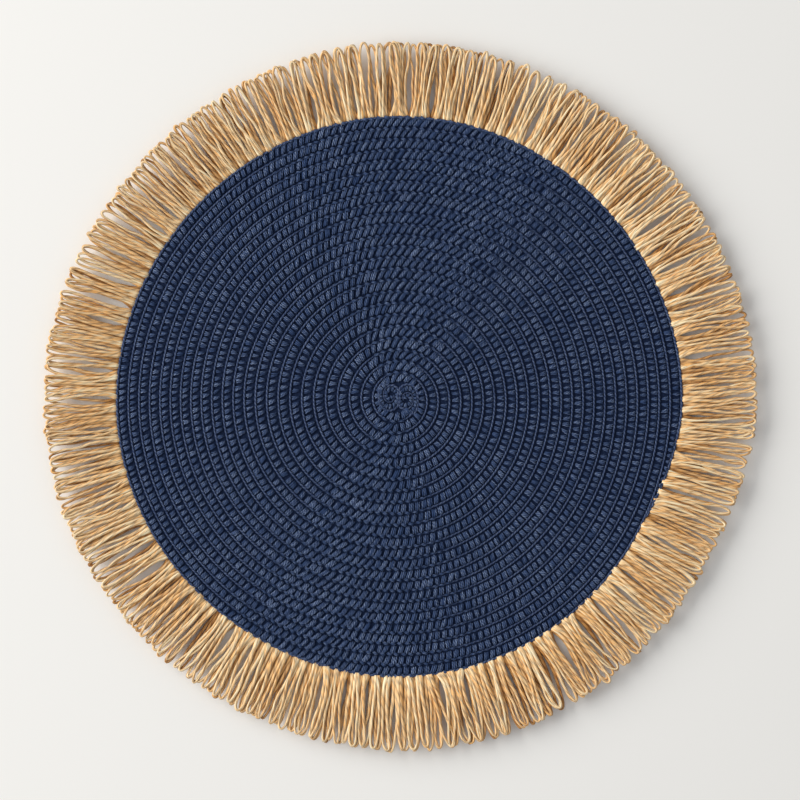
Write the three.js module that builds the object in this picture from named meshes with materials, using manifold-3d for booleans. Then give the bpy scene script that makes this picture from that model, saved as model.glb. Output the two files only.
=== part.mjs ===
import * as THREE from "three";
import { mergeVertices } from "three/addons/utils/BufferGeometryUtils.js";
import Module from "manifold-3d";

// Round table mat: one flat paper braid wound in a spiral, with a fringe of looped paper yarn.
// Millimetres, +Z up. The origin is in the middle of the underside, which lies flat on the table.

// Driving dimensions of the mat
const BRAID_WIDTH = 5.95;
const TURNS = 25.875;
const THICKNESS = 4;
const GROOVE_HEIGHT = 2.5;
const STEPS_PER_TURN = 48;
const BRAID_END_ANGLE = THREE.MathUtils.degToRad(-25);
const END_TAPER = 0.0625;

// Driving dimensions of the fringe
const LOOP_COUNT = 144;
const LOOP_STEPS = 6;
const LOOP_REACH = 35.8;
const LOOP_UNEVENNESS = 1;
const LOOP_STRAIGHTNESS = 0.35;
const LOOP_BELLY = 0.35;
const YARN_WIDTH = 1.8;
const YARN_TOP_WIDTH = 1.1;
const YARN_HEIGHT = 1.4;
const HEADING_WIDTH = 2;
const HEADING_HEIGHT = 1.6;
const SEAM_GAP = 0.31;

// One row of the braid: a groove, then the two shoulders of its flat back, from the inside outwards
const ROW_LINES = [
  { across: 0, height: GROOVE_HEIGHT },
  { across: 0.26, height: THICKNESS },
  { across: 0.72, height: THICKNESS },
];

// Slow waves of the hand-sewn rows: how many go round, how far they push and where they start
const SWAYS = [
  { waves: 3, push: 0.5, start: THREE.MathUtils.degToRad(-148) },
  { waves: 4, push: 0.5, start: THREE.MathUtils.degToRad(21) },
];

// Loops lean together in soft groups: groups round the mat, and the lean in parts of a loop's width
const LEANS = [
  { groups: 11, lean: 0.42 },
  { groups: 19, lean: 0.2 },
];

const FULL_TURN = 2 * Math.PI;
const GOLDEN_ANGLE = Math.PI * (3 - Math.sqrt(5));
const END_RADIUS = BRAID_WIDTH * TURNS;
const LAST_STEP = STEPS_PER_TURN * (TURNS - 2);
const MERGE_DISTANCE = 1e-3;
const FLATNESS = 0.01;

// A spiral's rim is a little off its own centre, so the centre is moved to bring the rim to the origin
const OFF_CENTRE = BRAID_WIDTH / Math.PI;
const OFF_CENTRE_ANGLE = BRAID_END_ANGLE - Math.PI / 2;
const SPIRAL_CENTRE = new THREE.Vector2(
  OFF_CENTRE * Math.cos(OFF_CENTRE_ANGLE),
  OFF_CENTRE * Math.sin(OFF_CENTRE_ANGLE),
);

// A point at a radius and an angle about the spiral's centre, with the rows' slow waves
function pointAt(radius, angle, height) {
  const push = SWAYS.reduce((sum, sway) => sum + sway.push * Math.cos(sway.waves * angle - sway.start), 0);
  const swayed = radius + push * (radius / END_RADIUS) ** 2;
  return new THREE.Vector3(
    SPIRAL_CENTRE.x + swayed * Math.cos(angle),
    SPIRAL_CENTRE.y + swayed * Math.sin(angle),
    height,
  );
}

// The rim, a part of a turn back from the braid's end, where the last row tapers to nothing
function rimRadius(turnsBack) {
  const lastRowWidth = Math.min(1, turnsBack / END_TAPER);
  return BRAID_WIDTH * (TURNS - 1 - turnsBack + lastRowWidth);
}

function rimPoint(turnsBack, outside, height) {
  return pointAt(rimRadius(turnsBack) + outside, BRAID_END_ANGLE + FULL_TURN * turnsBack, height);
}

// A point of a row line: the inner edge of the row at a step is line 0, its outer edge line 0 a turn on
function rowPoint(step, line) {
  const { across, height } = ROW_LINES[line];
  const turnsBack = (LAST_STEP - step) / STEPS_PER_TURN;
  if (turnsBack < 0) {
    return rimPoint(turnsBack + 1, 0, height);
  }
  const inner = BRAID_WIDTH * (TURNS - 1 - turnsBack);
  const width = BRAID_WIDTH * Math.min(1, turnsBack / END_TAPER);
  return pointAt(inner + width * across, BRAID_END_ANGLE + FULL_TURN * turnsBack, height);
}

// The mat: a spiral strip of ribbed rows on top, a plain wall at the rim and a flat underside
function makeMat() {
  const points = [];
  const triangles = [];
  const known = new Map();

  function addPoint(point) {
    points.push(point.x, point.y, point.z);
    return points.length / 3 - 1;
  }

  // All lines of the row meet in one point where it ends
  function rowIndex(step, line) {
    const closed = step === LAST_STEP || step === LAST_STEP + STEPS_PER_TURN;
    const key = closed ? "end" : `${line} ${step}`;
    if (!known.has(key)) {
      known.set(key, addPoint(closed ? rowPoint(LAST_STEP, 0) : rowPoint(step, line)));
    }
    return known.get(key);
  }

  function addTriangle(a, b, c) {
    if (a !== b && b !== c && c !== a) {
      triangles.push(a, b, c);
    }
  }

  // Ribbed top, row after row along the spiral
  for (let step = 0; step < LAST_STEP; step += 1) {
    for (let line = 0; line < ROW_LINES.length; line += 1) {
      const next = (line + 1) % ROW_LINES.length;
      const turnOn = next === 0 ? STEPS_PER_TURN : 0;
      const inner = [rowIndex(step, line), rowIndex(step + 1, line)];
      const outer = [rowIndex(step + turnOn, next), rowIndex(step + 1 + turnOn, next)];
      addTriangle(inner[0], inner[1], outer[1]);
      addTriangle(inner[0], outer[1], outer[0]);
    }
  }

  // Start of the braid, closed by a low button in the middle
  const middle = addPoint(new THREE.Vector3(SPIRAL_CENTRE.x, SPIRAL_CENTRE.y, THICKNESS));
  for (let step = 0; step < STEPS_PER_TURN - 1; step += 1) {
    addTriangle(middle, rowIndex(step + 1, 0), rowIndex(step, 0));
  }
  const firstRow = ROW_LINES.map((_, line) => rowIndex(0, line));
  const seam = [middle, ...firstRow, rowIndex(STEPS_PER_TURN, 0)];
  for (let k = 0; k < seam.length - 1; k += 1) {
    addTriangle(rowIndex(STEPS_PER_TURN - 1, 0), seam[k], seam[k + 1]);
  }

  // Rim wall and flat underside
  const rim = [];
  for (let step = LAST_STEP; step < LAST_STEP + STEPS_PER_TURN; step += 1) {
    const top = rowIndex(step, 0);
    const foot = addPoint(new THREE.Vector3(points[3 * top], points[3 * top + 1], 0));
    rim.push({ top, foot });
  }
  const underside = addPoint(new THREE.Vector3(SPIRAL_CENTRE.x, SPIRAL_CENTRE.y, 0));
  rim.forEach((here, k) => {
    const next = rim[(k + 1) % rim.length];
    addTriangle(here.top, next.top, next.foot);
    addTriangle(here.top, next.foot, here.foot);
    addTriangle(underside, here.foot, next.foot);
  });

  const geometry = new THREE.BufferGeometry();
  geometry.setAttribute("position", new THREE.Float32BufferAttribute(points, 3));
  geometry.setIndex(triangles);
  geometry.computeVertexNormals();
  return geometry;
}

// The heading of the fringe: a narrow flat band that follows the rim just outside it
function makeHeading() {
  const steps = Array.from({ length: STEPS_PER_TURN }, (_, step) => step / STEPS_PER_TURN);
  const outline = (outside) => steps.map((turnsBack) => rimPoint(turnsBack, outside, 0));
  const band = new THREE.Shape(outline(SEAM_GAP + HEADING_WIDTH));
  band.holes.push(new THREE.Path(outline(SEAM_GAP)));
  return new THREE.ExtrudeGeometry(band, { depth: HEADING_HEIGHT, bevelEnabled: false });
}

// The middle line of one loop of yarn: out from the heading, round its tip and back
class LoopPath extends THREE.Curve {
  constructor(number) {
    super();
    this.turnsBack = number / LOOP_COUNT;
    this.share = FULL_TURN / LOOP_COUNT;
    this.lean = LEANS.reduce((sum, { groups, lean }) => (
      sum + lean * Math.sin(FULL_TURN * groups * this.turnsBack)
    ), 0);
    this.reach = LOOP_REACH + LOOP_UNEVENNESS * Math.sin(GOLDEN_ANGLE * number);
  }

  // A low power of the rise makes straight legs and a round tip, and the belly widens the loop
  getPoint(t, target = new THREE.Vector3()) {
    const rise = Math.max(Math.sin(Math.PI * t), 0);
    const out = rise ** LOOP_STRAIGHTNESS;
    const halfWidth = this.share / 4 * (1 + LOOP_BELLY * rise);
    const turn = this.share * this.lean * out ** 2 - halfWidth * Math.cos(Math.PI * t);
    const root = rimRadius(this.turnsBack) + SEAM_GAP + HEADING_WIDTH / 2;
    const angle = BRAID_END_ANGLE + FULL_TURN * this.turnsBack + turn;
    return target.copy(pointAt(root + this.reach * out, angle, 0));
  }

  // Steps are even in t, which sets more of them at the tip than along the legs
  getUtoTmapping(u) {
    return u;
  }
}

// One loop of yarn, with a flat foot that lies on the table
function makeLoop(number) {
  const section = new THREE.Shape([
    new THREE.Vector2(0, -YARN_WIDTH / 2),
    new THREE.Vector2(0, YARN_WIDTH / 2),
    new THREE.Vector2(-YARN_HEIGHT, YARN_TOP_WIDTH / 2),
    new THREE.Vector2(-YARN_HEIGHT, -YARN_TOP_WIDTH / 2),
  ]);
  return new THREE.ExtrudeGeometry(section, {
    steps: LOOP_STEPS,
    bevelEnabled: false,
    extrudePath: new LoopPath(number),
  });
}

const wasm = await Module();
wasm.setup();

function toSolid(geometry) {
  const bare = geometry.clone();
  bare.deleteAttribute("normal");
  bare.deleteAttribute("uv");
  const merged = mergeVertices(bare, MERGE_DISTANCE);
  return new wasm.Manifold(new wasm.Mesh({
    numProp: 3,
    vertProperties: new Float32Array(merged.attributes.position.array),
    triVerts: new Uint32Array(merged.index.array),
  }));
}

function toGeometry(solid) {
  const { vertProperties, triVerts } = solid.getMesh();
  const geometry = new THREE.BufferGeometry();
  geometry.setAttribute("position", new THREE.BufferAttribute(vertProperties, 3));
  geometry.setIndex(new THREE.BufferAttribute(triVerts, 1));
  geometry.computeVertexNormals();
  return geometry;
}

// The fringe: every loop fused into the heading at its two roots, its flat faces made whole again
function makeFringe() {
  let fringe = toSolid(makeHeading());
  for (let number = 0; number < LOOP_COUNT; number += 1) {
    fringe = fringe.add(toSolid(makeLoop(number)));
  }
  return toGeometry(fringe.asOriginal().simplify(FLATNESS));
}

const braidPaper = new THREE.MeshStandardMaterial({ color: 0x24365a, roughness: 0.72, metalness: 0 });
const yarnPaper = new THREE.MeshStandardMaterial({ color: 0xd3a76c, roughness: 0.8, metalness: 0 });

const placemat = new THREE.Group();

const mat = new THREE.Mesh(makeMat(), braidPaper);
mat.name = "mat_body";
placemat.add(mat);

const fringe = new THREE.Mesh(makeFringe(), yarnPaper);
fringe.name = "fringe";
placemat.add(fringe);

export default placemat;
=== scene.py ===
"""The looks of a round braided paper placemat with a fringe of looped paper yarn."""

import logging
import math
from dataclasses import dataclass
from enum import Enum

import bmesh
import bpy
import numpy as np
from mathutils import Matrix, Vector


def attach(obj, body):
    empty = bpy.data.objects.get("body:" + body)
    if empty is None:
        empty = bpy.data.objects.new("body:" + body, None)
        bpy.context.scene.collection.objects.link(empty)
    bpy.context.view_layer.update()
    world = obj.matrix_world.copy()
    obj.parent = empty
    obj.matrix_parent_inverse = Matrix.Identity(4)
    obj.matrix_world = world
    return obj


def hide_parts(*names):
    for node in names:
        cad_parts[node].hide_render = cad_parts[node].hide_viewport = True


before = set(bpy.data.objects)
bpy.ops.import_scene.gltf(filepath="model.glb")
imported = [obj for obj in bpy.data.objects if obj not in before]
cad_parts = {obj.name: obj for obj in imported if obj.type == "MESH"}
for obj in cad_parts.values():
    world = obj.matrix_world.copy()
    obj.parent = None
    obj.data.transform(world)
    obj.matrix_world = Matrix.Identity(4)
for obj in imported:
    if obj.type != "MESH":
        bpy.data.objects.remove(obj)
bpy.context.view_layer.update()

LOG = logging.getLogger("placemat")
MM = 0.001
FULL_TURN = 2 * math.pi
BODY = "root"
Array = np.ndarray
Pair = tuple[float, float]
Generator = np.random.Generator
Material = bpy.types.Material
Mesh = bpy.types.Mesh
Node = bpy.types.Node
NodeTree = bpy.types.NodeTree
Piece = bpy.types.Object
Socket = bpy.types.NodeSocket
STRAND_MAP = "strand"
TONE = "tone"
# One unit of the UV map is a centimetre
UV_UNIT_MM = 10.0
UV_PER_METRE = 1000 / UV_UNIT_MM
# Strands start at different places of the pattern: the number of starts, and the units between
UV_STARTS = 97
UV_START_STEP = 2.9
# Keeps an upright step, which has no side, from dividing by nothing
TINY = 1e-12
# The three threads of a block and the two of a small stitch, side by side
THREADS = np.array([-1.0, 0.0, 1.0])[:, None]
PAIRED = np.array([-0.5, 0.5])[:, None]
# The sides of the sections of short stitches, and of cords and yarn
STITCH_SIDES = 5
CORD_SIDES = 6
# The share of its length by which one length of a cord or back runs into the next
LAP = 0.002
# Random numbers drawn for bunches, their pulls and the leanings, more than fit round the rim
BUNCH_DRAWS = 300
PULL_DRAWS = 400
KNOT_DRAWS = 120
# Points on each loop before they are spaced out along it
DENSE_POINTS = 601


class Slot(Enum):
    """The material slots."""

    BRAID = "braid"
    YARN = "yarn"


class Loop(Enum):
    """The forms that a loop of the fringe takes."""

    TEARDROP = "teardrop"
    NARROW = "narrow"
    CROSSED = "crossed"


def smoothstep(low: float, high: float, value: Array) -> Array:
    """Rises smoothly from 0 where the value is low to 1 where it is high."""
    share = np.clip((value - low) / (high - low), 0.0, 1.0)
    return share * share * (3 - 2 * share)


def between(sizes: Pair, share: Array | float) -> Array | float:
    """Gives a size at a share of the way from the first of a pair to the second."""
    return sizes[0] + (sizes[1] - sizes[0]) * share


# Layout of the braid


@dataclass(frozen=True)
class Sway:
    """A slow wave of the hand-sewn rows: its waves round the mat, its push and where it starts."""

    waves: int
    push: float
    start: float


@dataclass(frozen=True)
class BraidSpiral:
    """The path of the braid, wound outwards clockwise from a middle point.

    A place on it is a distance along the middle of the row and a share across the row, from its
    inner edge at 0 to its outer edge at 1. The rows may swell outwards and drift to the left
    halfway between the middle and the rim.
    """

    width: float
    turns: float
    end_angle: float
    centre: tuple[float, float]
    first_turn: float = 0.0
    end_taper: float = 0.0625
    sways: tuple[Sway, ...] = ()
    swell: float = 0.0
    drift: float = 0.0

    @property
    def end_radius(self) -> float:
        """The radius that the rim would reach at the braid's end without its taper."""
        return self.width * self.turns

    @property
    def start(self) -> float:
        """The distance along the row at which the first whole stitch lies."""
        return math.pi * self.width * (self.first_turn + 0.5) ** 2

    @property
    def length(self) -> float:
        """The distance along the row at which the braid ends."""
        return math.pi * self.width * (self.turns - 0.5) ** 2

    @property
    def rim(self) -> float:
        """The mean radius of the rim."""
        return self.width * (self.turns - 0.5)

    def lengths(self, pieces: int, points: int) -> Array:
        """Distances along the row at the points of equal lengths that run a little into each other."""
        ends = np.linspace(self.start, self.length, pieces + 1)
        return ends[:-1, None] + (ends[1] - ends[0]) * np.linspace(-LAP, 1 + LAP, points)

    def place(self, radius: Array, angle: Array) -> Array:
        """Puts a radius and an angle about the spiral's middle into the frame.

        Args:
            radius: Distances from the spiral's middle.
            angle: Angles, counter-clockwise from +X.

        Returns:
            X and Y in the last axis.
        """
        share = radius / self.end_radius
        push = sum(s.push * np.cos(s.waves * angle - s.start) for s in self.sways)
        halfway = np.sin(math.pi * np.clip(share, 0.0, 1.0)) ** 2
        swayed = radius + push * share**2 + (self.swell - self.drift * np.cos(angle)) * halfway
        return np.stack(
            [self.centre[0] + swayed * np.cos(angle), self.centre[1] + swayed * np.sin(angle)],
            axis=-1,
        )

    def turns_back(self, along: Array) -> Array:
        """Turns between a distance along the row and the braid's end."""
        turn = np.sqrt(np.maximum(along, 0.0) / (math.pi * self.width)) - 0.5
        return self.turns - 1 - turn

    def angle(self, along: Array) -> Array:
        """The angle about the spiral's middle at a distance along the row."""
        return self.end_angle + FULL_TURN * self.turns_back(along)

    def row_point(self, along: Array, across: Array | float) -> Array:
        """The place of a point of the row, seen from above.

        Args:
            along: Distances along the middle of the row.
            across: Shares across the row.

        Returns:
            X and Y in the last axis.
        """
        back = self.turns_back(along)
        width = np.clip(back / self.end_taper, 0.0, 1.0)
        radius = self.width * (self.turns - 1 - back + width * across)
        return self.place(radius, self.end_angle + FULL_TURN * back)

    def rim_radius(self, back: Array) -> Array:
        """The radius of the rim, a part of a turn back from the braid's end."""
        share = np.mod(back, 1.0)
        return self.width * (self.turns - 1 - share + np.clip(share / self.end_taper, 0.0, 1.0))

    def rim_point(self, back: Array, outside: Array) -> Array:
        """A place at a distance outside the rim, a part of a turn back from the braid's end."""
        return self.place(self.rim_radius(back) + outside, self.end_angle + FULL_TURN * back)


# Meshes


@dataclass(frozen=True)
class Tube:
    """The faces of one closed tube, which every strand of a kind copies.

    It holds, for each corner of each face, the ring that it lies on and its place round the ring,
    and the number of corners of each face.
    """

    ring: Array
    place: Array
    counts: Array

    @classmethod
    def make(cls, sides: int, rings: int) -> "Tube":
        """Makes a tube by extruding a round face, and reads its faces.

        Args:
            sides: The number of sides of the section.
            rings: The number of rings along the tube.

        Returns:
            The tube's faces, which point outwards.
        """
        shape = bmesh.new()
        bmesh.ops.create_circle(shape, cap_ends=True, segments=sides, radius=1.0)
        end = shape.faces[:]
        for ring in range(1, rings):
            last = end
            grown = bmesh.ops.extrude_face_region(shape, geom=last)["geom"]
            end = [part for part in grown if isinstance(part, bmesh.types.BMFace)]
            bmesh.ops.translate(shape, verts=end[0].verts[:], vec=(0, 0, 1))
            if ring > 1:
                bmesh.ops.delete(shape, geom=last, context="FACES_ONLY")
        bmesh.ops.recalc_face_normals(shape, faces=shape.faces)
        ring, place, counts = [], [], []
        for face in shape.faces:
            turns = [math.atan2(-v.co.x, v.co.y) / FULL_TURN for v in face.verts]
            around = [round(turn * sides) % sides for turn in turns]
            # The side face at the seam ends at a full turn instead of 0
            if len(around) == 4 and 0 in around and sides - 1 in around:
                around = [number or sides for number in around]
            ring += [round(v.co.z) for v in face.verts]
            place += around
            counts.append(len(around))
        shape.free()
        return cls(np.array(ring), np.array(place), np.array(counts))


def oval_section(sides: int) -> Array:
    """The corners of a round section of radius 1, from the top round to the left."""
    turn = math.pi / 2 + np.arange(sides) / sides * FULL_TURN
    return np.stack([np.cos(turn), np.sin(turn)], axis=-1)


@dataclass
class Strands:
    """Many strands of one form, kept as arrays and joined into one mesh.

    Each strand is a closed tube along its own path, and its section may turn about it.
    """

    section: Array
    points: int
    path: Array
    width: Array
    height: Array | float
    tone: Array | float
    spin: Array | float = 0.0

    def __post_init__(self) -> None:
        """Spreads single numbers over all points."""
        shape = self.path.shape[:2]
        for name in ("width", "height", "tone", "spin"):
            setattr(self, name, np.broadcast_to(getattr(self, name), shape))

    def chosen(self, which: Array) -> "Strands":
        """Some of the strands."""
        parts = [part[which] for part in (self.path, self.width, self.height, self.tone, self.spin)]
        return Strands(self.section, self.points, *parts)

    def shared_out(self, parts: int) -> list["Strands"]:
        """Shares the strands out by their distance from the middle.

        Args:
            parts: The number of shares.

        Returns:
            The shares, from the middle outwards.
        """
        distance = np.linalg.norm(self.path[:, self.points // 2, :2], axis=-1)
        order = np.argsort(distance, kind="stable")
        return [self.chosen(share) for share in np.array_split(order, parts)]

    def corners(self) -> Array:
        """The section's corners at each point of each strand.

        Returns:
            Corners of shape (strands, points, sides, 3).
        """
        tangent = np.gradient(self.path, axis=1)
        tangent /= np.linalg.norm(tangent, axis=-1, keepdims=True)
        side = np.cross(np.array([0.0, 0.0, 1.0]), tangent)
        side /= np.linalg.norm(side, axis=-1, keepdims=True) + TINY
        normal = np.cross(tangent, side)
        level = self.width[..., None] * self.section[:, 0]
        upright = self.height[..., None] * self.section[:, 1]
        cosine, sine = np.cos(self.spin)[..., None], np.sin(self.spin)[..., None]
        return (
            self.path[:, :, None, :]
            + side[:, :, None, :] * (level * cosine - upright * sine)[..., None]
            + normal[:, :, None, :] * (level * sine + upright * cosine)[..., None]
        )

    def build(self, name: str, material: Material) -> Piece:
        """Joins the strands into one object.

        Args:
            name: The object's name.
            material: Its material.

        Returns:
            The new object, with its shade as a point attribute and a UV map that runs in
            centimetres along each strand, from a start of its own, and in turns round it.
        """
        sides, strands = len(self.section), len(self.path)
        tube = Tube.make(sides, self.points)
        first = np.arange(strands)[:, None] * self.points * sides
        corner = (first + tube.ring * sides + tube.place % sides).ravel()
        starts = np.cumsum(np.tile(tube.counts, strands)) - np.tile(tube.counts, strands)
        mesh = bpy.data.meshes.new(name)
        mesh.vertices.add(strands * self.points * sides)
        mesh.vertices.foreach_set("co", self.corners().astype(np.float32).ravel())
        mesh.loops.add(len(corner))
        mesh.loops.foreach_set("vertex_index", corner.astype(np.int32))
        mesh.polygons.add(len(starts))
        mesh.polygons.foreach_set("loop_start", starts.astype(np.int32))
        mesh.update(calc_edges=True)
        mesh.polygons.foreach_set("use_smooth", np.ones(len(starts), dtype=bool))
        steps = np.linalg.norm(np.diff(self.path, axis=1), axis=-1)
        along = np.concatenate([np.zeros((strands, 1)), np.cumsum(steps, axis=1)], axis=1)
        along = along * UV_PER_METRE + UV_START_STEP * (np.arange(strands)[:, None] % UV_STARTS)
        around = np.broadcast_to(tube.place / sides, (strands, len(tube.place)))
        uv = np.stack([along[:, tube.ring], around], axis=-1)
        layer = mesh.uv_layers.new(name=STRAND_MAP)
        layer.data.foreach_set("uv", uv.astype(np.float32).ravel())
        shade = mesh.attributes.new(TONE, "FLOAT", "POINT")
        shade.data.foreach_set("value", np.repeat(self.tone.ravel(), sides).astype(np.float32))
        mesh.materials.append(material)
        return link(name, mesh)


def link(name: str, mesh: Mesh) -> Piece:
    """Makes an object of a mesh and puts it in the scene.

    Args:
        name: The object's name.
        mesh: Its mesh.

    Returns:
        The new object.
    """
    piece = bpy.data.objects.new(name, mesh)
    bpy.context.scene.collection.objects.link(piece)
    return piece


def mount(piece: Piece, slot: Slot, *nodes: str) -> Piece:
    """Lets a piece ride on the frame and hides the CAD nodes that it stands for.

    Args:
        piece: The finished piece.
        slot: Not used.
        *nodes: The CAD nodes that it replaces.

    Returns:
        The piece.
    """
    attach(piece, BODY)
    if nodes:
        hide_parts(*nodes)
    return piece


# Materials


def srgb(hex_colour: str) -> tuple[float, float, float, float]:
    """Turns an sRGB hex colour into linear values.

    Args:
        hex_colour: Six hex digits after a hash.

    Returns:
        Linear red, green, blue and alpha.
    """
    values = [int(hex_colour[i:i + 2], 16) / 255 for i in (1, 3, 5)]
    linear = [v / 12.92 if v <= 0.04045 else ((v + 0.055) / 1.055) ** 2.4 for v in values]
    return (*linear, 1.0)


def add_node(
    tree: NodeTree,
    kind: str,
    inputs: dict[int | str, object] | None = None,
    **settings: object,
) -> Node:
    """Adds one node.

    Args:
        tree: The node tree.
        kind: The node's type name.
        inputs: Values of its input sockets, or sockets that feed them.
        **settings: Properties of the node.

    Returns:
        The new node.
    """
    node = tree.nodes.new(kind)
    for name, value in settings.items():
        setattr(node, name, value)
    for name, value in (inputs or {}).items():
        if isinstance(value, Socket):
            tree.links.new(value, node.inputs[name])
        else:
            node.inputs[name].default_value = value
    return node


def math_node(tree: NodeTree, operation: str, *inputs: object) -> Socket:
    """Adds a math node with values or sockets for its inputs, and gives its output."""
    return add_node(tree, "ShaderNodeMath", dict(enumerate(inputs)), operation=operation).outputs[0]


def mapped(
    tree: NodeTree, value: Socket, low: float, high: float, least: float = 0.0, kind: str = "LINEAR"
) -> Socket:
    """Adds a node that maps values from low to high to shares from least to 1."""
    inputs = {"Value": value, "From Min": low, "From Max": high, "To Min": least}
    return add_node(tree, "ShaderNodeMapRange", inputs, interpolation_type=kind).outputs[0]


def mixed(tree: NodeTree, share: Socket, first: object, second: object) -> Socket:
    """Adds a node that mixes two colours, each a value or a socket."""
    inputs = {0: share, 6: first, 7: second}
    return add_node(tree, "ShaderNodeMix", inputs, data_type="RGBA").outputs[2]


def new_material(name: str) -> tuple[Material, NodeTree, Node]:
    """Makes a material with a bare principled shader.

    Args:
        name: The material's name.

    Returns:
        The material, its node tree and the shader node.
    """
    material = bpy.data.materials.new(name)
    material.use_nodes = True
    tree = material.node_tree
    tree.nodes.clear()
    shader = add_node(tree, "ShaderNodeBsdfPrincipled")
    add_node(tree, "ShaderNodeOutputMaterial", {"Surface": shader.outputs["BSDF"]})
    return material, tree, shader


@dataclass(frozen=True)
class TwistedPaper:
    """What dyed and undyed paper have in common: threads twisted round each other."""

    name: str
    roughness: float
    specular: float
    threads: float
    twist_mm: float
    relief_mm: float
    relief_strength: float = 0.7

    def coordinates(self, tree: NodeTree) -> list[Socket]:
        """Reads what every strand carries.

        Args:
            tree: The material's node tree.

        Returns:
            The distance along the strand, the turns round it, its shade and its threads' phase.
        """
        uv = add_node(tree, "ShaderNodeUVMap", uv_map=STRAND_MAP).outputs["UV"]
        along, around, _ = add_node(tree, "ShaderNodeSeparateXYZ", {"Vector": uv}).outputs
        tone = add_node(tree, "ShaderNodeAttribute", attribute_name=TONE).outputs["Fac"]
        turned = math_node(tree, "MULTIPLY", along, FULL_TURN * UV_UNIT_MM / self.twist_mm)
        phase = math_node(tree, "MULTIPLY_ADD", around, FULL_TURN * self.threads, turned)
        return [along, around, tone, phase]

    def finish(self, shader: Node, colour: Socket, relief: Socket, height: float = 1.0) -> None:
        """Gives a shader its colour, relief and gloss.

        Args:
            shader: The shader.
            colour: The colour.
            relief: The heights of the relief.
            height: The height that stands for the relief's full depth.
        """
        tree = shader.id_data
        inputs = {
            "Strength": self.relief_strength,
            "Distance": self.relief_mm * MM / height,
            "Height": relief,
        }
        bump = add_node(tree, "ShaderNodeBump", inputs)
        tree.links.new(colour, shader.inputs["Base Color"])
        tree.links.new(bump.outputs["Normal"], shader.inputs["Normal"])
        shader.inputs["Roughness"].default_value = self.roughness
        shader.inputs["Specular IOR Level"].default_value = self.specular


@dataclass(frozen=True)
class DyedPaperBraid(TwistedPaper):
    """Dyed kraft paper, twisted to thin cords and braided."""

    # The eye sees a matte navy with fine fibre lines along each strand, and strands that took the
    # dye a little differently. The near black between the strands is painted shade, and the faint
    # waxy light on the crests is a painted sheen. The cord along the rows' edges is a little darker
    # and shows its twist.

    name: str = "dyed_paper_braid"
    roughness: float = 0.62
    specular: float = 0.12
    threads: float = 2.0
    twist_mm: float = 1.8
    relief_mm: float = 0.3
    # The deep colour is painted shade between the strands, darkest at one height
    groove_shade: str = "#101f3c"
    body: str = "#2e4268"
    # The crest colour is a painted sheen on the crests, laid on the paler fibres and thread ridges
    crest: str = "#7b8aa7"
    # The grain is coarser than real paper fibres, so that it shows from above
    grain_mm: float = 0.45
    grain_detail: float = 2.0
    grain_roughness: float = 0.6
    # How far the grain bends the threads' lines, in radians, and the lines' share in the fibres
    bend: float = 5.0
    thread_share: float = 0.55
    fibre_zone: Pair = (0.34, 0.7)
    # The height at which the braid is darkest, the painted shade between rows and threads, and how
    # far from there it has its full colour
    shade_height_mm: float = 2.0
    shade_fade_mm: float = 1.7

    def make(self) -> Material:
        """Builds the material.

        Returns:
            The new material.
        """
        material, tree, shader = new_material(self.name)
        _, _, tone, phase = self.coordinates(tree)
        place = add_node(tree, "ShaderNodeTexCoord").outputs["Object"]
        height = add_node(tree, "ShaderNodeSeparateXYZ", {"Vector": place}).outputs["Z"]
        noise = {
            "Vector": place,
            "Scale": 1000 / self.grain_mm,
            "Detail": self.grain_detail,
            "Roughness": self.grain_roughness,
        }
        grain = add_node(tree, "ShaderNodeTexNoise", noise).outputs["Fac"]
        wave = math_node(tree, "COSINE", math_node(tree, "MULTIPLY_ADD", grain, self.bend, phase))
        ridge = mapped(tree, wave, -1.0, 1.0)
        mix = {0: self.thread_share, 2: grain, 3: ridge}
        fibres = add_node(tree, "ShaderNodeMix", mix, data_type="FLOAT").outputs[0]
        fine = mapped(tree, fibres, *self.fibre_zone)
        # Painted shade: near one height, between the rows and at the threads' feet, the colour darkens
        # to the deep colour
        shade_distance = math_node(tree, "ABSOLUTE", math_node(tree, "SUBTRACT", height, self.shade_height_mm * MM))
        lift = mapped(tree, shade_distance, 0.0, self.shade_fade_mm * MM, kind="SMOOTHSTEP")
        base = mixed(tree, lift, srgb(self.groove_shade), srgb(self.body))
        # Painted sheen: the crest colour goes on the fibres and thread ridges of higher toned threads,
        # away from the painted shade
        fibre_and_sheen_share = math_node(tree, "MULTIPLY", math_node(tree, "MULTIPLY", fine, tone), lift)
        self.finish(shader, mixed(tree, fibre_and_sheen_share, base, srgb(self.crest)), fibres)
        return material


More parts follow.
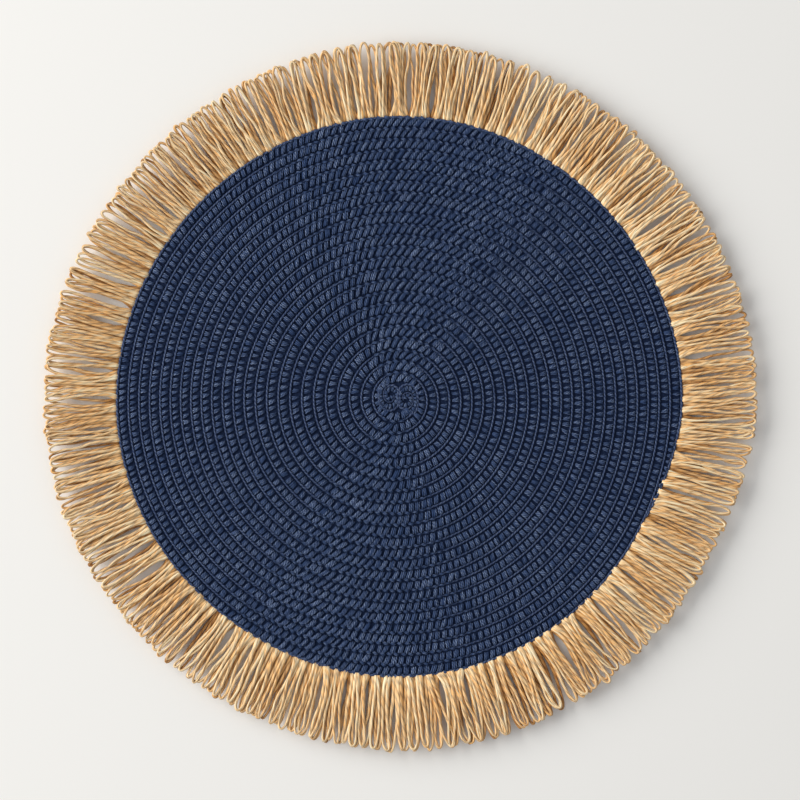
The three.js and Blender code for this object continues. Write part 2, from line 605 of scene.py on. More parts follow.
@dataclass(frozen=True)
class NaturalPaperYarn(TwistedPaper):
    """Undyed kraft paper yarn of two plies, twisted."""

    # The eye sees straw tan with pale ridges, fine fibres along each ply and paler yarn where it
    # bends out of the rim. The brown lines where the plies meet are painted shade in the grooves,
    # and the brown yarn where it lies deepest is painted shade under the upper layers.

    name: str = "natural_paper_yarn"
    roughness: float = 0.55
    specular: float = 0.45
    threads: float = 2.0
    twist_mm: float = 6.0
    relief_mm: float = 0.25
    # The shade colour is painted shade: it darkens the grooves between plies and the lower layers
    shade: str = "#6f3d10"
    body: str = "#efb265"
    pale: str = "#fff2cc"
    # The sine of a ply's phase from which it has its full colour, and the least share of it, where
    # the groove between plies takes painted shade
    ridge_from: float = 0.2
    ridge_least: float = 0.35
    # The fibres are coarser than real ones, so that they show from above, and slant by a turn
    girth_mm: float = 4.7
    fibre_mm: float = 0.5
    fibre_length_mm: float = 14.0
    fibre_detail: float = 2.5
    fibre_roughness: float = 0.65
    fibre_turn: float = 0.22
    fibre_zone: Pair = (0.38, 0.62)
    # The tone below which yarn is browner, a painted shade on the lower layers, and the share of
    # body colour at a tone of 0
    shaded_tone: float = 0.45
    shaded_least: float = 0.45
    # The height of the fibres in the relief, in heights of a ply
    fibre_relief: float = 8.0

    def make(self) -> Material:
        """Builds the material.

        Returns:
            The new material.
        """
        material, tree, shader = new_material(self.name)
        along, around, tone, phase = self.coordinates(tree)
        ply = math_node(tree, "SINE", phase)
        # The ply ridge shapes the relief and darkens the grooves between plies towards the shade
        # colour, a painted shade
        ridge = mapped(tree, ply, -1.0, self.ridge_from, self.ridge_least, "SMOOTHSTEP")
        across = math_node(tree, "MULTIPLY_ADD", along, self.fibre_turn, around)
        twisted = add_node(tree, "ShaderNodeCombineXYZ", {"X": along, "Y": across}).outputs[0]
        stretch = (UV_UNIT_MM / self.fibre_length_mm, self.girth_mm / self.fibre_mm, 1.0)
        stretched = add_node(tree, "ShaderNodeMapping", {"Vector": twisted, "Scale": stretch})
        noise = {
            "Vector": stretched.outputs["Vector"],
            "Scale": 1.0,
            "Detail": self.fibre_detail,
            "Roughness": self.fibre_roughness,
        }
        fibres = add_node(tree, "ShaderNodeTexNoise", noise).outputs["Fac"]
        fine = mapped(tree, fibres, *self.fibre_zone)
        # Painted shade: low toned yarn, in the lower layers, leans towards the shade colour
        lit = mapped(tree, tone, 0.0, self.shaded_tone, self.shaded_least)
        body_share = math_node(tree, "MULTIPLY", ridge, lit)
        low = mixed(tree, body_share, srgb(self.shade), srgb(self.body))
        # Pale fibres, more on higher toned yarn; the top layer's higher tone makes it paler, a painted
        # light
        colour = mixed(tree, math_node(tree, "MULTIPLY", fine, tone), low, srgb(self.pale))
        relief = math_node(tree, "MULTIPLY_ADD", fine, self.fibre_relief, ridge)
        self.finish(shader, colour, relief, self.fibre_relief)
        return material


@dataclass(frozen=True)
class PlainPaint:
    """Matte paint, rolled on smooth."""

    # The eye sees an even, very pale warm grey.

    colour: str = "#f3f2ef"
    roughness: float = 0.9

    def make(self) -> Material:
        """Builds the material.

        Returns:
            The new material.
        """
        material, _, shader = new_material("plain_paint")
        shader.inputs["Base Color"].default_value = srgb(self.colour)
        shader.inputs["Roughness"].default_value = self.roughness
        return material


# The mat


@dataclass
class MatBase:
    """The sheet that the rows make between their upper and lower faces."""

    spiral: BraidSpiral
    foot: float = 0.7 * MM
    thickness: float = 1.5 * MM
    inset: float = 0.6 * MM
    edge: float = 0.5 * MM
    edge_segments: int = 2
    segments: int = 288

    def build(self, material: Material) -> Piece:
        """Builds the sheet.

        Args:
            material: The braid's material.

        Returns:
            The sheet, which replaces the CAD mat.
        """
        shape = bmesh.new()
        bmesh.ops.create_circle(shape, cap_ends=True, segments=self.segments, radius=1.0)
        for vertex in shape.verts:
            back = (math.atan2(vertex.co.y, vertex.co.x) - self.spiral.end_angle) / FULL_TURN
            vertex.co.xy = self.spiral.rim_point(np.array(back), -self.inset)
        grown = bmesh.ops.extrude_face_region(shape, geom=shape.faces[:])
        top = [v for v in grown["geom"] if isinstance(v, bmesh.types.BMVert)]
        bmesh.ops.translate(shape, verts=top, vec=(0, 0, self.thickness))
        rim = [e for e in shape.edges if all(v in set(top) for v in e.verts)]
        bmesh.ops.bevel(
            shape,
            geom=rim,
            offset=self.edge,
            segments=self.edge_segments,
            profile=0.5,
            affect="EDGES",
            material=-1,
        )
        bmesh.ops.recalc_face_normals(shape, faces=shape.faces)
        bmesh.ops.translate(shape, verts=shape.verts[:], vec=(0, 0, self.foot))
        mesh = bpy.data.meshes.new("mat_base")
        shape.to_mesh(mesh)
        shape.free()
        layer = mesh.uv_layers.new(name=STRAND_MAP)
        corner = np.zeros(len(mesh.loops), dtype=np.int32)
        mesh.loops.foreach_get("vertex_index", corner)
        place = np.zeros(len(mesh.vertices) * 3)
        mesh.vertices.foreach_get("co", place)
        uv = place.reshape(-1, 3)[corner, :2] * UV_PER_METRE
        layer.data.foreach_set("uv", uv.astype(np.float32).ravel())
        mesh.materials.append(material)
        return mount(link("mat_base", mesh), Slot.BRAID, "mat_body")


@dataclass(frozen=True)
class Weave:
    """How the stitches lie at one place round the mat.

    The place is in degrees clockwise from the right. The lean is the slant of the blocks, the
    wedge how much they narrow inwards, and the plait how far small stitches cover the cord.
    """

    clockwise: float
    lean: float
    wedge: float
    plait: float


@dataclass(frozen=True)
class Gap:
    """A round place that a braid's stitches leave free for a curl."""

    x: float
    y: float
    radius: float


@dataclass(frozen=True)
class Profile:
    """Points along a short stitch: how far along it each lies, how high and how thick it is."""

    run: Array
    arch: Array
    girth: Array


BLOCK = Profile(
    run=np.array([0.0, 0.13, 0.5, 0.87, 1.0]),
    arch=np.array([0.0, 0.82, 1.0, 0.82, 0.0]),
    girth=np.array([0.75, 0.95, 1.0, 0.95, 0.75]),
)
SMALL = Profile(
    run=np.array([-1.0, -0.55, 0.0, 0.55, 1.0]),
    arch=np.array([0.0, 0.72, 1.0, 0.72, 0.0]),
    girth=np.array([0.8, 0.95, 1.0, 0.95, 0.8]),
)


@dataclass(frozen=True)
class BlockForm:
    """The form of a block of threads, with pairs for plain and for plaited rows.

    Places across the row are shares of its width. Spreads are usual differences.
    """

    inner: Pair = (0.08, 0.04)
    outer: Pair = (0.72, 0.88)
    # How much shorter, in plaited rows, and lower the two outer threads are
    outer_short: float = 0.07
    outer_drop: Pair = (0.12 * MM, 0.28 * MM)
    plait_growth: float = 0.04
    # How much narrower, thinner and lower a full wedge is at its inner end
    wedge_narrow: float = 0.72
    wedge_thin: float = 0.4
    wedge_drop: float = 0.7 * MM
    # The place across the row about which a block leans
    pivot: float = 0.4
    # The height of a thread's section, in thread radii
    tallness: float = 1.15
    place_spread: float = 0.17 * MM
    lean_spread: float = 0.11
    size_spread: float = 0.08
    height_spread: float = 0.13 * MM
    end_spread: float = 0.03
    thread_spread: float = 0.05 * MM
    thread_height_spread: float = 0.1 * MM
    # How pale blocks and threads are, and how that changes along upright blocks and wedges: a
    # wedge is darker at its inner end, a painted shade, and paler at its outer end, a painted light
    block_tone: float = 0.35
    thread_tone: float = 0.85
    thread_tone_power: float = 1.6
    inner_shade: float = 0.5
    upright_tone: float = 0.7
    wedge_light: float = 0.15


@dataclass(frozen=True)
class CordForm:
    """The form of the edge cord in rows, where small stitches hide it, and on the rim."""

    piece: float = 125 * MM
    points: int = 55
    across: float = 0.865
    rim_outwards: float = 0.035
    height: float = 2.75 * MM
    rim_radius: float = 0.78 * MM
    hidden_drop: float = 0.75 * MM
    rim_drop: float = 0.25 * MM
    hidden_thin: float = 0.15
    # The plaits between which it sinks, and the turns from the end between which the rim starts
    hiding: Pair = (0.2, 0.9)
    rim_start: Pair = (0.98, 1.02)
    wave: float = 0.06 * MM
    wave_length: float = 2.1 * MM
    fade_length: float = 2.2 * MM
    # The cord's tone varies at random along it, and is lower where small stitches hide it, so it is
    # darker there
    tone: float = 0.25
    fade: float = 0.4
    hidden_darkening: float = 0.2


@dataclass(frozen=True)
class SmallForm:
    """The form of the small stitches, with pairs for slightly and for fully plaited rows."""

    least_plait: float = 0.3
    end_gap: float = 0.02
    growing: Pair = (0.25, 0.9)
    half_length: Pair = (2.2 * MM, 1.5 * MM)
    across: float = 0.88
    slant: Pair = (0.05, 0.17)
    top: Pair = (2.5 * MM, 3.25 * MM)
    # The gap between the two threads, and its shares along and across the row
    gap: Pair = (0.4 * MM, 0.7 * MM)
    gap_along: float = 0.6
    gap_across: float = 0.8
    radius: float = 0.42 * MM
    half_height: float = 0.4 * MM
    spread: float = 0.12 * MM
    tone: Pair = (0.1, 0.7)


@dataclass(frozen=True)
class BackForm:
    """The form of the rows' round backs."""

    pieces: int = 100
    points: int = 35
    middle: float = 1.15 * MM
    half_height: float = 1.05 * MM
    half_width: float = 0.48
    least_width: float = 0.2
    tone: float = 0.3


@dataclass
class Stitches:
    """The braid's face: a block of three threads over each stitch, and a cord along its outer edge.

    Towards the far and near sides of the mat the blocks lean and small stitches cover the cord,
    like a plait. At the left and right the blocks are wedges beside a clear smooth cord.
    """

    spiral: BraidSpiral
    weaves: tuple[Weave, ...]
    seed: int
    pitch: float = 3.35 * MM
    plait_pitch: float = 3.85 * MM
    crest: float = 3.35 * MM
    foot: float = 1.7 * MM
    thread_pitch: float = 0.86 * MM
    thread_radius: float = 0.43 * MM
    cord_radius: float = 0.57 * MM
    gaps: tuple[Gap, ...] = ()
    block_form: BlockForm = BlockForm()
    cord_form: CordForm = CordForm()
    small_form: SmallForm = SmallForm()
    back_form: BackForm = BackForm()

    def woven(self, along: Array, size: str) -> Array:
        """One of the weave's sizes at distances along the row, blended between the given places."""
        stations, sizes = zip(*[(weave.clockwise, getattr(weave, size)) for weave in self.weaves])
        return np.interp(np.degrees(-self.spiral.angle(along)), stations, sizes, period=360)

    def marks(self) -> Array:
        """Places the blocks along the row, a little closer where they are upright.

        Returns:
            Distances along the row, without those in gaps.
        """
        marks = [self.spiral.start + 0.5 * self.pitch]
        while marks[-1] < self.spiral.length - self.pitch:
            share = float(self.woven(np.array(marks[-1]), "plait"))
            marks.append(marks[-1] + between((self.pitch, self.plait_pitch), share))
        marks = np.array(marks)
        place = self.spiral.row_point(marks, 0.5)
        for gap in self.gaps:
            free = np.hypot(place[:, 0] - gap.x, place[:, 1] - gap.y) > gap.radius
            marks, place = marks[free], place[free]
        return marks

    def lift(self, along: Array, across: Array | float, height: Array | float) -> Array:
        """Points in the frame, for distances along the row, shares across it and heights."""
        flat = self.spiral.row_point(along, across)
        return np.concatenate([flat, np.broadcast_to(height, flat.shape[:-1])[..., None]], axis=-1)

    def blocks(self) -> Strands:
        """The blocks of three threads side by side.

        Returns:
            The threads, three for each stitch.
        """
        rng = np.random.default_rng(self.seed)
        form, run = self.block_form, BLOCK.run
        marks = self.marks()
        block, thread = (len(marks), 1, 1), (len(marks), 3, 1)
        along = marks[:, None, None] + rng.normal(0, form.place_spread, block)
        plait, wedge = self.woven(along, "plait"), self.woven(along, "wedge")
        lean = self.woven(along, "lean") + rng.normal(0, form.lean_spread, block)
        outside = np.abs(THREADS)
        short = form.outer_short * plait * outside
        inner = between(form.inner, plait) + short + rng.normal(0, form.end_spread, thread)
        outer = between(form.outer, plait) - short + rng.normal(0, form.end_spread, thread)
        across = inner + (outer - inner) * run
        size = 1 + rng.normal(0, form.size_spread, block) + form.plait_growth * plait
        inwards = wedge * (1 - run)
        beside = self.thread_pitch * size * (1 - form.wedge_narrow * inwards) * THREADS
        swing = lean * (across - form.pivot) * self.spiral.width
        shift = swing + rng.normal(0, form.thread_spread, thread) + beside
        top = self.crest + rng.normal(0, form.height_spread, block)
        top = top + rng.normal(0, form.thread_height_spread, thread)
        top = top - between(form.outer_drop, plait) * outside - form.wedge_drop * inwards
        tone = rng.uniform(0.0, form.block_tone, block)
        tone = tone + form.thread_tone * rng.random(thread) ** form.thread_tone_power
        # Painted shade at the inner end of wedges, and painted light at their outer end
        tone = tone * np.minimum(1.0, form.inner_shade + run + form.upright_tone * (1 - wedge))
        tone = tone + form.wedge_light * wedge * run
        path = self.lift(along + shift, across, self.foot + (top - self.foot) * BLOCK.arch)
        width = self.thread_radius * size * BLOCK.girth * (1 - form.wedge_thin * inwards)
        return Strands(
            oval_section(STITCH_SIDES),
            len(run),
            path.reshape(-1, len(run), 3),
            np.broadcast_to(width, path.shape[:3]).reshape(-1, len(run)),
            form.tallness * self.thread_radius,
            np.broadcast_to(tone, path.shape[:3]).reshape(-1, len(run)),
        )

    def cords(self) -> Strands:
        """The smooth cord at the outer edge of the row, which is thicker along the rim.

        Returns:
            The lengths that it is made in.
        """
        form, spiral = self.cord_form, self.spiral
        pieces = max(1, round((spiral.length - spiral.start) / form.piece))
        along = spiral.lengths(pieces, form.points)
        last = 1 - smoothstep(*form.rim_start, spiral.turns_back(along))
        hidden = smoothstep(*form.hiding, self.woven(along, "plait") * (1 - last))
        height = form.height - form.hidden_drop * hidden - form.rim_drop * last
        radius = between((self.cord_radius, form.rim_radius), last) * (1 - form.hidden_thin * hidden)
        wave = form.wave * np.sin(FULL_TURN * along / form.wave_length)
        rng = np.random.default_rng(self.seed + 2)
        places = np.arange(0, spiral.length, form.fade_length)
        faded = np.interp(along, places, rng.random(len(places)))
        # Lower tone, so a darker cord, where small stitches cover it
        tone = form.tone + form.fade * faded - form.hidden_darkening * hidden * faded
        path = self.lift(along, form.across + form.rim_outwards * last, height + wave)
        return Strands(oval_section(CORD_SIDES), form.points, path, radius, radius, tone)

    def small_stitches(self) -> Strands:
        """The small stitches that cover the cord where the rows are plaited.

        Returns:
            The strands, two for each stitch there.
        """
        rng = np.random.default_rng(self.seed + 1)
        form, points = self.small_form, len(SMALL.run)
        marks = self.marks()
        plaited = self.woven(marks, "plait") > form.least_plait
        marks = marks[plaited & (self.spiral.turns_back(marks) > form.end_gap)]
        count = (len(marks), 1)
        along = marks[:, None] + 0.5 * self.plait_pitch + rng.normal(0, form.spread, count)
        share = smoothstep(*form.growing, self.woven(along, "plait"))
        along = along - between(form.half_length, share) * SMALL.run
        across = form.across + between(form.slant, share) * SMALL.run
        top = between(form.top, share) + rng.normal(0, form.spread, count)
        height = self.foot + (top - self.foot) * SMALL.arch
        apart = between(form.gap, share[:, None]) * PAIRED
        path = self.lift(
            along[:, None] + form.gap_along * apart,
            across[:, None] + form.gap_across * apart / self.spiral.width,
            height[:, None],
        )
        return Strands(
            oval_section(STITCH_SIDES),
            points,
            path.reshape(-1, points, 3),
            form.radius * SMALL.girth,
            form.half_height,
            rng.uniform(*form.tone, (2 * len(marks), 1)),
        )

    def underside(self, material: Material, name: str) -> Piece:
        """Builds the plain round backs of the rows.

        Args:
            material: Their material.
            name: The piece's name.

        Returns:
            The piece.
        """
        form = self.back_form
        along = self.spiral.lengths(form.pieces, form.points)
        narrow = np.clip(self.spiral.turns_back(along) / self.spiral.end_taper, form.least_width, 1.0)
        width = form.half_width * self.spiral.width * narrow
        path = self.lift(along, 0.5, form.middle)
        rows = Strands(oval_section(CORD_SIDES), form.points, path, width, form.half_height, form.tone)
        return mount(rows.build(name, material), Slot.BRAID)

    def build(self, braid: Material, cord: Material, name: str, parts: int) -> list[Piece]:
        """Builds the stitches in a few pieces, from the middle outwards.

        Args:
            braid: The material of the blocks and small stitches.
            cord: The material of the edge cord.
            name: What the pieces' names start with.
            parts: The number of pieces for the blocks.

        Returns:
            The pieces.
        """
        kinds = []
        for number, share in enumerate(self.blocks().shared_out(parts), start=1):
            kinds.append((f"{name}_block_{number}", share, braid))
        kinds.append((f"{name}_cord", self.cords(), cord))
        small = self.small_stitches()
        if len(small.path):
            kinds.append((f"{name}_small", small, braid))
        return [mount(strands.build(piece, material), Slot.BRAID) for piece, strands, material in kinds]


# The fringe


@dataclass(frozen=True)
class LoopForm:
    """How common a form of loop is, and how far its legs stand out at the belly, least and most."""

    share: float
    belly_mm: Pair


@dataclass(frozen=True)
class Layer:
    """How high a layer of loops lies, how pale it is, and how pale and thick its roots are.

    Lower layers are darker, a painted shade under the upper ones, and the top layer paler, a
    painted light; near the rim the lower layers' roots take more painted shade.
    """

    height: float
    tone: float
    root_tone: float
    root_growth: float


@dataclass(frozen=True)
class Fade:
    """A size that changes smoothly over a zone of the reach."""

    zone: Pair
    sizes: Pair

    def at(self, share: Array) -> Array:
        """The size at shares of the reach."""
        return between(self.sizes, smoothstep(*self.zone, share))


@dataclass(frozen=True)
class LoopPowers:
    """The powers of the share of the reach that shape a loop between its roots and its tip."""

    reach: Pair = (0.36, 0.46)
    root: float = 1.5
    belly: float = 1.2
    tilt: float = 1.1
    pull: float = 0.75
    arch: float = 0.6
    curl: float = 1.6
    kink: int = 6


LOOP_FORMS = {
    Loop.TEARDROP: LoopForm(share=0.64, belly_mm=(2.7, 4.0)),
    Loop.NARROW: LoopForm(share=0.22, belly_mm=(1.7, 2.7)),
    Loop.CROSSED: LoopForm(share=0.14, belly_mm=(2.1, 3.2)),
}
# Lower layers darker and the top layer paler: painted shade and painted light
LAYERS = (
    Layer(height=0.2 * MM, tone=-0.2, root_tone=-0.4, root_growth=0.2),
    Layer(height=1.0 * MM, tone=0.15, root_tone=-0.1, root_growth=0.35),
    Layer(height=1.8 * MM, tone=0.38, root_tone=0.3, root_growth=0.65),
)


@dataclass
class Fringe:
    """Loops of paper yarn that stand out of the rim in three layers, drawn together in bunches."""

    spiral: BraidSpiral
    seed: int = 11
    count: int = 500
    points: int = 44
    reach: float = 38.0 * MM
    reach_spread: float = 0.014
    # How much longer the loops are at the right, and shorter at the left
    uneven: float = 0.8 * MM
    yarn: float = 1.46 * MM
    yarn_spread: float = 0.07
    # The width and the height of the yarn's oval section, in yarns
    oval: Pair = (1.05, 0.92)
    # Half the width between the legs at the root, and how far the root lies under the rim
    root: float = 0.6 * MM
    tuck: float = 0.6 * MM
    place_spread: float = 0.16
    # The widths of the bunches, and the shares of the way that loops are drawn to their middle
    bunch: Pair = (7 * MM, 15 * MM)
    pull: Pair = (0.08, 0.52)
    # The widths over which loops lean alike, and how far they lean
    alike: Pair = (16 * MM, 36 * MM)
    lean: float = 1.7 * MM
    common_lean: float = 0.45
    layer_lean: float = 0.75
    own_lean: float = 0.9 * MM
    stray_share: float = 0.05
    stray_mm: float = 7.0
    # The waves of the small kinks from root to tip, their size, and the second leg's lag
    kink_waves: Pair = (1.0, 2.5)
    kink_mm: Pair = (0.2, 0.95)
    kink_lag: float = 1.9
    # The height of the lowest yarn's middle and the least height of all, in yarns and half yarns
    rest: float = 0.8
    clearance: float = 1.06
    loose: float = 0.5 * MM
    roll_mm: float = 0.35
    arch: float = 0.5 * MM
    curl: float = 4.3 * MM
    # Where the tip starts, and how much closer the points are set there
    tip_from: float = 0.93
    tip_density: float = 2.5
    # The side where the roots are thickest, and how fast that fades round the mat
    near_angle: float = math.radians(-82)
    near_power: int = 3
    tone: Pair = (0.0, 0.65)
    # What changes from the root, at 0, to the tip, at 1
    root_height: Fade = Fade((0.03, 0.25), (0.25, 1.0))
    tip_height: Fade = Fade((0.5, 1.0), (1.0, 0.75))
    tip_tone: Fade = Fade((0.3, 0.9), (0.0, 0.18))
    root_tone: Fade = Fade((0.02, 0.3), (1.0, 0.0))
    root_girth: Fade = Fade((0.0, 0.22), (1.0, 0.0))
    leg_girth: Fade = Fade((0.2, 0.8), (1.18, 1.0))
    near_girth: Fade = Fade((0.3, 0.9), (0.28, 0.0))
    powers: LoopPowers = LoopPowers()

    @property
    def girth(self) -> float:
        """The length of the rim."""
        return FULL_TURN * self.spiral.rim

    def by_layer(self, size: str) -> Array:
        """Each loop's value of one of the sizes of its layer."""
        sizes = np.array([getattr(layer, size) for layer in LAYERS])
        return sizes[np.arange(self.count) % len(LAYERS)][:, None]

    def bunched(self, rng: Generator, back: Array) -> tuple[Array, Array]:
        """Sorts the loops into bunches.

        Args:
            rng: The random numbers.
            back: Each loop's place round the rim, in turns.

        Returns:
            Each loop's bunch, and how far the middle of its bunch lies from it.
        """
        edges = np.cumsum(rng.uniform(*self.bunch, BUNCH_DRAWS)) / self.girth
        edges = np.concatenate([[0.0], edges[edges < 1 - self.bunch[0] / self.girth], [1.0]])
        which = np.clip(np.searchsorted(edges, back, side="right") - 1, 0, len(edges) - 2)
        return which, ((edges[which] + edges[which + 1]) / 2 - back) * self.girth

    def leaning(self, rng: Generator, back: Array) -> Array:
        """How far the tips lean sideways, alike for neighbours.

        Args:
            rng: The random numbers.
            back: Each loop's place round the rim, in turns.

        Returns:
            Distances sideways.
        """
        knots = np.cumsum(rng.uniform(*self.alike, KNOT_DRAWS)) / self.girth
        knots = knots[knots < 1]
        return np.interp(back, knots, rng.normal(0, self.lean, len(knots)), period=1)

    def paths(self, rng: Generator) -> tuple[Array, Array]:
        """The middle lines of the loops' yarn.

        Args:
            rng: The random numbers.

        Returns:
            Points of shape (loops, points, 3), and the share of the reach at each point.
        """
        powers, number, single = self.powers, np.arange(self.count), (self.count, 1)
        spread = rng.normal(0, self.place_spread, self.count)
        back = np.sort(np.mod((number + spread) / self.count, 1.0))
        shares = [form.share for form in LOOP_FORMS.values()]
        forms = rng.choice(list(LOOP_FORMS), self.count, p=shares)
        bellies = [rng.uniform(*form.belly_mm, self.count) for form in LOOP_FORMS.values()]
        belly = np.select([forms == kind for kind in LOOP_FORMS], bellies)[:, None] * MM
        crossing = np.where(forms == Loop.CROSSED, -1.0, 1.0)[:, None]
        bunch, inward = self.bunched(rng, back)
        pull = rng.uniform(*self.pull, PULL_DRAWS)[bunch]
        leans = np.array([self.leaning(rng, back) for _ in range(len(LAYERS) + 1)])
        astray = rng.random(self.count) < self.stray_share
        stray = np.where(astray, rng.choice([-self.stray_mm, self.stray_mm], self.count), 0.0) * MM
        tilt = self.common_lean * leans[-1] + self.layer_lean * leans[number % len(LAYERS), number]
        tilt = tilt + rng.normal(0, self.own_lean, self.count) + stray
        reach = self.reach * (1 + rng.normal(0, self.reach_spread, self.count))[:, None]
        reach = reach + self.uneven * np.cos(self.spiral.end_angle + FULL_TURN * back)[:, None]
        along = np.linspace(0, 1, DENSE_POINTS)[None, :]
        out = np.sin(math.pi * along) ** rng.uniform(*powers.reach, single)
        half = self.root * crossing * (1 - out) ** powers.root + belly * out**powers.belly
        side = (
            -half * np.cos(math.pi * along)
            + tilt[:, None] * out**powers.tilt
            + (inward * pull)[:, None] * np.sin(math.pi * out**powers.pull)
            + self.wander(rng, out)
        )
        level = self.by_layer("height") + rng.uniform(0, self.loose, single)
        roll = rng.uniform(-self.roll_mm, self.roll_mm, single) * MM * np.cos(math.pi * along)
        arch = self.arch * np.sin(math.pi * np.clip(out, 0, 1) ** powers.arch)
        rise = level * self.root_height.at(out) * self.tip_height.at(out) + roll * out
        height = self.rest * self.yarn + np.maximum(0, rise + arch + self.curl * out**powers.curl)
        distance = -self.tuck + (reach + self.tuck) * out
        turn = back[:, None] + side / (self.girth + FULL_TURN * distance)
        flat = self.spiral.place(
            self.spiral.rim_radius(back)[:, None] + distance, self.spiral.end_angle + FULL_TURN * turn
        )
        return self.spaced(np.concatenate([flat, height[..., None]], axis=-1), out)

    def wander(self, rng: Generator, out: Array) -> Array:
        """Small sideways kinks along each leg, none at the root.

        Args:
            rng: The random numbers.
            out: Shares of the reach.

        Returns:
            Distances sideways.
        """
        start = rng.uniform(0, FULL_TURN, (self.count, 1))
        waves = rng.uniform(*self.kink_waves, (self.count, 1))
        push = rng.uniform(*self.kink_mm, (self.count, 1)) * MM
        first_leg = np.arange(out.shape[1])[None, :] < out.shape[1] // 2
        phase = start + np.where(first_leg, 0.0, self.kink_lag) + FULL_TURN * waves * out
        return push * out * (1 - out**self.powers.kink) * np.sin(phase)

    def spaced(self, path: Array, out: Array) -> tuple[Array, Array]:
        """Spaces the points of each path along it, closer where the loop turns back.

        Args:
            path: Closely set points of each loop.
            out: The share of the reach at each of them.

        Returns:
            The points, and the shares of the reach at them.
        """
        steps = np.linalg.norm(np.diff(path, axis=1), axis=-1)
        steps = steps * (1 + self.tip_density * (out[:, 1:] > self.tip_from))
        along = np.concatenate([np.zeros((len(path), 1)), np.cumsum(steps, axis=1)], axis=1)
        spaced = np.empty((len(path), self.points, 3))
        share = np.empty((len(path), self.points))
        for k in range(len(path)):
            marks = np.linspace(0, along[k, -1], self.points)
            share[k] = np.interp(marks, along[k], out[k])
            for axis in range(3):
                spaced[k, :, axis] = np.interp(marks, along[k], path[k, :, axis])
        return spaced, share

    def build(self, material: Material, parts: int = 3) -> list[Piece]:
        """Builds the fringe in a few pieces round the rim.

        Args:
            material: The yarn's material.
            parts: The number of pieces.

        Returns:
            The pieces, which replace the CAD fringe.
        """
        rng = np.random.default_rng(self.seed)
        path, share = self.paths(rng)
        # Each loop's tone: random, plus painted shade on the lower layers and their roots and painted
        # light on the top layer
        tone = rng.uniform(*self.tone, (self.count, 1)) + self.by_layer("tone")
        tone = tone + self.tip_tone.at(share) + self.by_layer("root_tone") * self.root_tone.at(share)
        half = 0.5 * self.yarn * (1 + rng.normal(0, self.yarn_spread, (self.count, 1)))
        half = half * (1 + self.by_layer("root_growth") * self.root_girth.at(share))
        angle = np.arctan2(path[:, :1, 1], path[:, :1, 0])
        near = np.clip(np.cos(angle - self.near_angle), 0.0, 1.0) ** self.near_power
        half = half * self.leg_girth.at(share) * (1 + near * self.near_girth.at(share))
        path[..., 2] = np.maximum(path[..., 2], self.clearance * half)
        strands = Strands(
            oval_section(CORD_SIDES),
            self.points,
            path,
            half * self.oval[0],
            half * self.oval[1],
            np.clip(tone, 0, 1),
            spin=rng.uniform(0, FULL_TURN, (self.count, 1)),
        )
        pieces = []
        for number, chosen in enumerate(np.array_split(np.arange(self.count), parts), start=1):
            piece = strands.chosen(chosen).build(f"fringe_{number}", material)
            pieces.append(mount(piece, Slot.YARN, "fringe"))
        return pieces


# The stage


@dataclass
class Stage:
    """The plain floor, the soft lights and the camera above the mat."""

    picture_px: float = 800.0
    px_per_mm: float = 1.853
    middle_px: tuple[float, float] = (398.9, 396.8)
    lens_mm: float = 85.0
    sensor_mm: float = 36.0
    floor_size: float = 4.0
    light_distance: float = 3.2
    light_angle: float = math.radians(164)
    light_elevation: float = math.radians(27)
    light_size: tuple[float, float] = (4.5, 2.2)
    light_power: float = 140.0
    light_colour: str = "#fffdf9"
    sky: float = 0.48
    sky_colour: str = "#f8f9fb"

    def floor(self) -> None:
        """Builds the floor."""
        shape = bmesh.new()
        bmesh.ops.create_grid(shape, x_segments=1, y_segments=1, size=self.floor_size / 2)
        mesh = bpy.data.meshes.new("floor")
        shape.to_mesh(mesh)
        shape.free()
        mesh.materials.append(PlainPaint().make())
        link("floor", mesh)

    def camera(self) -> None:
        """Sets the camera straight above, with the mat at its place in the picture."""
        half = self.picture_px / 2
        across = self.picture_px / self.px_per_mm * MM
        offset = [
            (half - self.middle_px[0]) / self.px_per_mm,
            (self.middle_px[1] - half) / self.px_per_mm,
        ]
        data = bpy.data.cameras.new("camera")
        data.lens = self.lens_mm
        data.sensor_width = self.sensor_mm
        camera = bpy.data.objects.new("camera", data)
        camera.location = (offset[0] * MM, offset[1] * MM, across * self.lens_mm / self.sensor_mm)
        bpy.context.scene.collection.objects.link(camera)
        bpy.context.scene.camera = camera

    def lights(self) -> None:
        """Sets one large soft light, far to the left and rather low, under a pale sky."""
        data = bpy.data.lights.new("key", "AREA")
        data.shape = "ELLIPSE"
        data.size, data.size_y = self.light_size
        data.energy = self.light_power
        data.color = srgb(self.light_colour)[:3]
        light = bpy.data.objects.new("key", data)
        level = self.light_distance * math.cos(self.light_elevation)
        light.location = (
            level * math.cos(self.light_angle),
            level * math.sin(self.light_angle),
            self.light_distance * math.sin(self.light_elevation),
        )
        light.rotation_euler = Vector(light.location).to_track_quat("Z", "Y").to_euler()
        bpy.context.scene.collection.objects.link(light)
        world = bpy.data.worlds.new("sky")
        world.use_nodes = True
        background = world.node_tree.nodes["Background"]
        background.inputs["Color"].default_value = srgb(self.sky_colour)
        background.inputs["Strength"].default_value = self.sky
        bpy.context.scene.world = world
        bpy.context.scene.view_settings.view_transform = "Standard"

    def build(self) -> None:
        """Builds the floor, the camera and the lights."""
        self.floor()
        self.camera()
        self.lights()


# The sizes of this mat


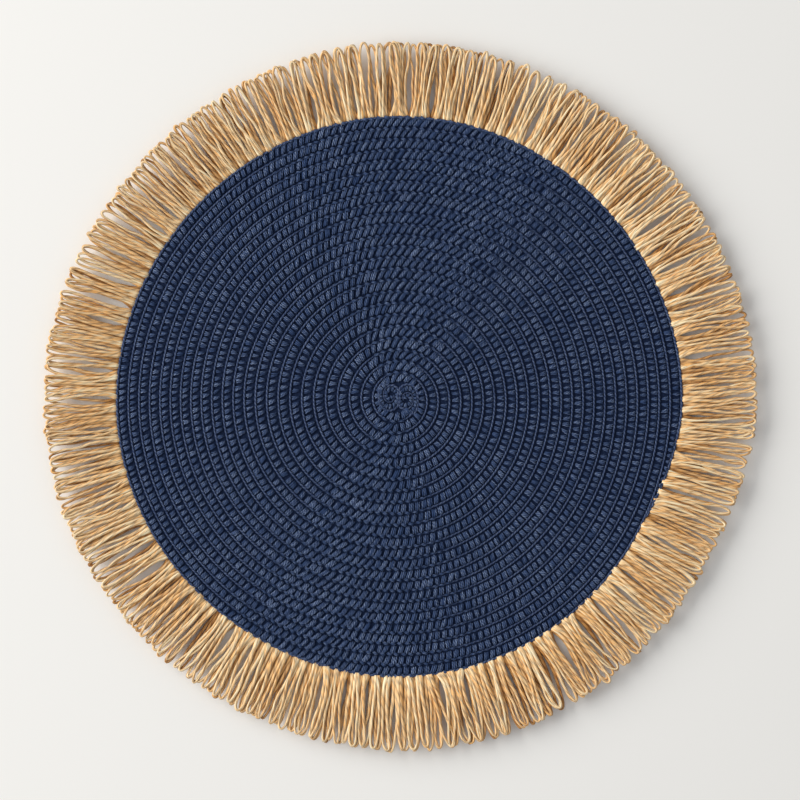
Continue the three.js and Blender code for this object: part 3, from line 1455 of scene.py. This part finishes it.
BRAID_WIDTH = 5.95 * MM
BRAID_END = math.radians(-25)
OFF_CENTRE = BRAID_WIDTH / math.pi
MAIN_SPIRAL = BraidSpiral(
    width=BRAID_WIDTH,
    turns=25.875,
    end_angle=BRAID_END,
    centre=(
        OFF_CENTRE * math.cos(BRAID_END - math.pi / 2),
        OFF_CENTRE * math.sin(BRAID_END - math.pi / 2),
    ),
    first_turn=0.9,
    sways=(
        Sway(3, 0.5 * MM, math.radians(-148)),
        Sway(4, 0.5 * MM, math.radians(21)),
    ),
    swell=2.4 * MM,
    drift=1.4 * MM,
)
# Degrees clockwise from the right, lean, wedge and plait
WEAVES = (
    Weave(0, 0.0, 0.9, 0.0),
    Weave(20, 0.0, 0.6, 0.0),
    Weave(45, 0.05, 0.15, 0.05),
    Weave(70, 0.2, 0.0, 0.45),
    Weave(90, 0.32, 0.0, 0.85),
    Weave(110, 0.5, 0.0, 1.0),
    Weave(135, 0.0, 0.0, 0.3),
    Weave(160, -0.2, 0.5, 0.15),
    Weave(180, -0.3, 0.9, 0.1),
    Weave(205, 0.0, 0.5, 0.1),
    Weave(225, 0.25, 0.1, 0.1),
    Weave(250, 0.5, 0.0, 0.7),
    Weave(270, 0.7, 0.0, 1.0),
    Weave(290, 0.5, 0.0, 0.9),
    Weave(315, 0.0, 0.0, 0.35),
    Weave(340, 0.0, 0.5, 0.1),
)
UPRIGHT = (Weave(0, 0.1, 0.2, 0.0),)
CURL_RADIUS = 7.4 * MM
# The turns from where a curl has its radius to its end, and the wave that makes it oval
CURL_RIM_BACK = 0.4
CURL_OVAL = Sway(2, 2.0 * MM, math.radians(176))
RIGHT_CURL = Gap(4.2 * MM, -1.1 * MM, 5.2 * MM)
LEFT_CURL = Gap(-4.6 * MM, 0.5 * MM, 5.2 * MM)


def curl(place: Gap, turns: float, end_angle: float) -> BraidSpiral:
    """Gives the path of one of the two small curls in which the braid starts."""
    return BraidSpiral(
        width=CURL_RADIUS / (turns - CURL_RIM_BACK),
        turns=turns,
        end_angle=end_angle,
        centre=(place.x, place.y),
        first_turn=-0.25,
        end_taper=0.1,
        sways=(CURL_OVAL,),
    )


CURLS = {
    "right_curl": curl(RIGHT_CURL, turns=2.6, end_angle=math.radians(-100)),
    "left_curl": curl(LEFT_CURL, turns=2.5, end_angle=math.radians(100)),
}


def main() -> None:
    """Builds the mat, its fringe and the stage, in that order."""
    braid = DyedPaperBraid().make()
    cord = DyedPaperBraid(name="dyed_paper_cord", body="#2b3a5d", twist_mm=2.2).make()
    yarn = NaturalPaperYarn().make()
    base = MatBase(MAIN_SPIRAL).build(braid)
    LOG.info("mat base built")
    back = DyedPaperBraid(name="dyed_paper_back", threads=3.0, twist_mm=12.0, relief_mm=0.5).make()
    stitches = Stitches(MAIN_SPIRAL, WEAVES, seed=3, gaps=(RIGHT_CURL, LEFT_CURL))
    rows = [*stitches.build(braid, cord, "row", 3), stitches.underside(back, "row_back")]
    LOG.info("rows built in %d pieces", len(rows))
    curls = []
    for name, path in CURLS.items():
        stitches = Stitches(
            path,
            UPRIGHT,
            seed=20,
            pitch=2.2 * MM,
            thread_pitch=0.58 * MM,
            thread_radius=0.32 * MM,
            cord_radius=0.42 * MM,
        )
        curls += stitches.build(braid, cord, name, 1)
    LOG.info("curls built in %d pieces", len(curls))
    fringe = Fringe(MAIN_SPIRAL).build(yarn)
    LOG.info("fringe built in %d pieces", len(fringe))
    Stage().build()


if __name__ == "__main__":
    logging.basicConfig(level=logging.INFO)
    main()
